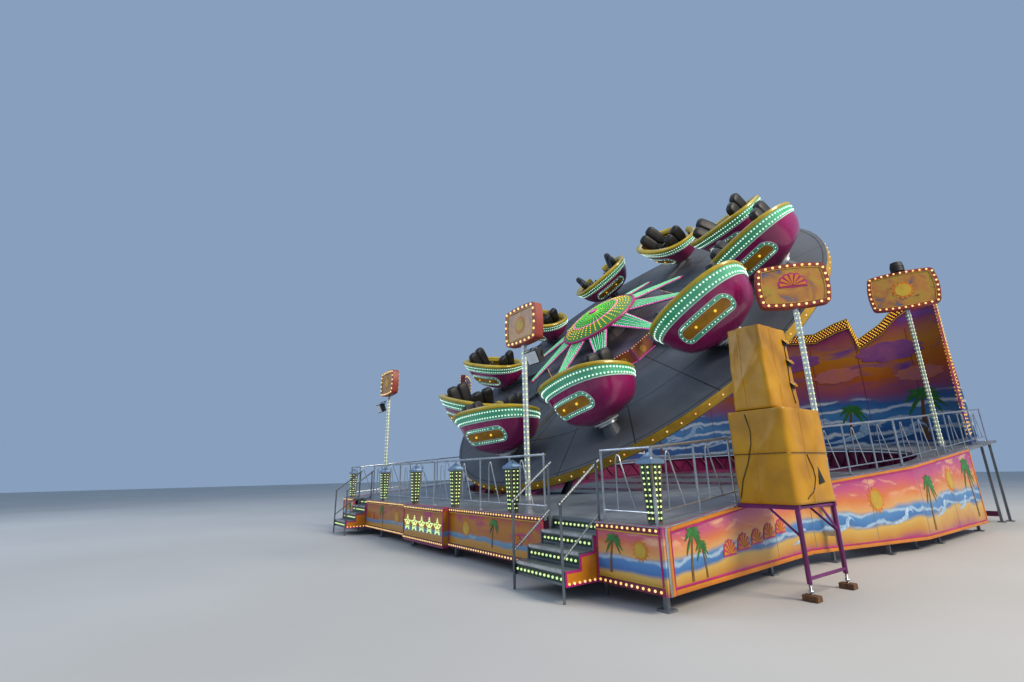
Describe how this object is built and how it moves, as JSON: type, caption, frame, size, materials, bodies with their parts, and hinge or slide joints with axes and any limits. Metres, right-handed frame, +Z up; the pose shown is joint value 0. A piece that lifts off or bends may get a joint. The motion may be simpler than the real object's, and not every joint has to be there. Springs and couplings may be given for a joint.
{
  "type": "tilting turntable fairground ride",
  "caption": "Raised fairground platform with a large disc that tilts up from the front, carrying free-spinning gondolas around a light sunburst, with boards, rails, masts and stairs.",
  "frame": {"origin": "centre of the underside of the chassis's middle ground pad, at ground level under the middle of the platform", "axes": "+X along the public front to the right of a rider looking in, +Y from the front to the rear, +Z up"},
  "size_m": [15.3176, 16.2947, 11.1064],
  "materials": {
    "chassis_paint": "dark magenta gloss paint on steel",
    "deck_plate": "worn ribbed aluminium plate",
    "fascia_board": "airbrushed boards with orange and magenta borders",
    "stair_metal": "bright tread plate and polished tube",
    "rail_metal": "bright galvanised and polished tube",
    "mast_board": "painted lamp-edged boards on silver posts",
    "backdrop_board": "airbrushed sunset and sea",
    "stand_paint": "purple gloss paint on steel tube",
    "cover_sheet": "coated tarpaulin, creased, satin sheen",
    "tilt_paint": "dark magenta paint",
    "disc_plate": "matt grey plates",
    "skirt_board": "orange boards with pink edging",
    "burst": "green and yellow light tubes on panels",
    "hull_shell": "glossy magenta moulded shell with mint and yellow bands",
    "seat_pad": "black padded vinyl",
    "cylinder_barrel": "dark painted steel",
    "cylinder_rod": "polished chrome"
  },
  "bodies": {
    "base": {"chassis_rail_right": "chassis_paint", "chassis_rail_left": "chassis_paint", "outrigger_front": "chassis_paint", "outrigger_middle": "chassis_paint", "outrigger_rear": "chassis_paint", "cylinder_beam": "chassis_paint", "deck_front": "deck_plate", "deck_right": "deck_plate", "deck_left": "deck_plate", "deck_rear": "deck_plate", "well_floor": "chassis_paint", "fascia_right": "fascia_board", "fascia_left": "fascia_board", "fascia_front": "fascia_board", "stairs_right": "stair_metal", "stairs_left": "stair_metal", "rail_front": "rail_metal", "rail_right": "rail_metal", "rail_left": "rail_metal", "mast_front_right": "mast_board", "mast_front_left": "mast_board", "mast_side_right": "mast_board", "mast_side_left": "mast_board", "mast_rear_right": "mast_board", "mast_rear_left": "mast_board", "backdrop": "backdrop_board", "backdrop_wing_right": "backdrop_board", "backdrop_wing_left": "backdrop_board", "speaker_stand": "stand_paint", "speaker_cover_lower": "cover_sheet", "speaker_cover_upper": "cover_sheet"},
    "tilt_frame": {"tilt_frame": "tilt_paint"},
    "turntable": {"turntable": "disc_plate", "hub_skirt": "skirt_board", "sunburst": "burst"},
    "gondola_01": {"gondola_01_hull": "hull_shell", "gondola_01_seats": "seat_pad"},
    "gondola_02": {"gondola_02_hull": "hull_shell", "gondola_02_seats": "seat_pad"},
    "gondola_03": {"gondola_03_hull": "hull_shell", "gondola_03_seats": "seat_pad"},
    "gondola_04": {"gondola_04_hull": "hull_shell", "gondola_04_seats": "seat_pad"},
    "gondola_05": {"gondola_05_hull": "hull_shell", "gondola_05_seats": "seat_pad"},
    "gondola_06": {"gondola_06_hull": "hull_shell", "gondola_06_seats": "seat_pad"},
    "gondola_07": {"gondola_07_hull": "hull_shell", "gondola_07_seats": "seat_pad"},
    "gondola_08": {"gondola_08_hull": "hull_shell", "gondola_08_seats": "seat_pad"},
    "gondola_09": {"gondola_09_hull": "hull_shell", "gondola_09_seats": "seat_pad"},
    "gondola_10": {"gondola_10_hull": "hull_shell", "gondola_10_seats": "seat_pad"},
    "barrel_left": {"cylinder_barrel_left": "cylinder_barrel"},
    "rod_left": {"cylinder_rod_left": "cylinder_rod"},
    "barrel_right": {"cylinder_barrel_right": "cylinder_barrel"},
    "rod_right": {"cylinder_rod_right": "cylinder_rod"}
  },
  "joints": [
    {"name": "disc_tilt", "type": "hinge", "parent": "base", "child": "tilt_frame", "pos_m": [0, -5.977, 0.95], "axis": [1, 0, 0], "range_deg": [-38.8, 0]},
    {"name": "disc_spin", "type": "hinge", "parent": "tilt_frame", "child": "turntable", "pos_m": [0, -1.13, 5.86], "axis": [0, -0.6921, 0.7218], "continuous": true},
    {"name": "gondola_01_spin", "type": "hinge", "parent": "turntable", "child": "gondola_01", "pos_m": [0.48807, 2.89648, 9.72125], "axis": [-0.0341, -0.9181, 0.395], "continuous": true},
    {"name": "gondola_02_spin", "type": "hinge", "parent": "turntable", "child": "gondola_02", "pos_m": [3.67393, 1.92043, 8.78526], "axis": [-0.2563, -0.85, 0.4603], "continuous": true},
    {"name": "gondola_03_spin", "type": "hinge", "parent": "turntable", "child": "gondola_03", "pos_m": [5.45647, -0.22078, 6.73191], "axis": [-0.3807, -0.7006, 0.6035], "continuous": true},
    {"name": "gondola_04_spin", "type": "hinge", "parent": "turntable", "child": "gondola_04", "pos_m": [5.15483, -2.70928, 4.34553], "axis": [-0.3597, -0.5269, 0.7701], "continuous": true},
    {"name": "gondola_05_spin", "type": "hinge", "parent": "turntable", "child": "gondola_05", "pos_m": [2.88421, -4.59455, 2.53762], "axis": [-0.2012, -0.3954, 0.8962], "continuous": true},
    {"name": "gondola_06_spin", "type": "hinge", "parent": "turntable", "child": "gondola_06", "pos_m": [-0.48807, -5.15648, 1.99875], "axis": [0.0341, -0.3562, 0.9338], "continuous": true},
    {"name": "gondola_07_spin", "type": "hinge", "parent": "turntable", "child": "gondola_07", "pos_m": [-3.67393, -4.18043, 2.93474], "axis": [0.2563, -0.4243, 0.8685], "continuous": true},
    {"name": "gondola_08_spin", "type": "hinge", "parent": "turntable", "child": "gondola_08", "pos_m": [-5.45647, -2.03922, 4.98809], "axis": [0.3807, -0.5737, 0.7252], "continuous": true},
    {"name": "gondola_09_spin", "type": "hinge", "parent": "turntable", "child": "gondola_09", "pos_m": [-5.15483, 0.44928, 7.37448], "axis": [0.3597, -0.7473, 0.5587], "continuous": true},
    {"name": "gondola_10_spin", "type": "hinge", "parent": "turntable", "child": "gondola_10", "pos_m": [-2.88421, 2.33455, 9.18238], "axis": [0.2012, -0.8789, 0.4326], "continuous": true},
    {"name": "barrel_left_swing", "type": "hinge", "parent": "base", "child": "barrel_left", "pos_m": [-0.7, -4.8, 0.35], "axis": [1, 0, 0], "range_deg": [-46, 0.3]},
    {"name": "rod_left_slide", "type": "slide", "parent": "barrel_left", "child": "rod_left", "axis": [0, 0.5771, 0.8167], "range_m": [-0.763, 0.01]},
    {"name": "barrel_right_swing", "type": "hinge", "parent": "base", "child": "barrel_right", "pos_m": [0.7, -4.8, 0.35], "axis": [1, 0, 0], "range_deg": [-46, 0.3]},
    {"name": "rod_right_slide", "type": "slide", "parent": "barrel_right", "child": "rod_right", "axis": [0, 0.5771, 0.8167], "range_m": [-0.763, 0.01]}
  ],
  "couplings": [
    {"joint": "barrel_left_swing", "follows": "disc_tilt", "ratio": 1.1779},
    {"joint": "rod_left_slide", "follows": "disc_tilt", "m_per_rad": 1.1119},
    {"joint": "barrel_right_swing", "follows": "disc_tilt", "ratio": 1.1779},
    {"joint": "rod_right_slide", "follows": "disc_tilt", "m_per_rad": 1.1119}
  ]
}
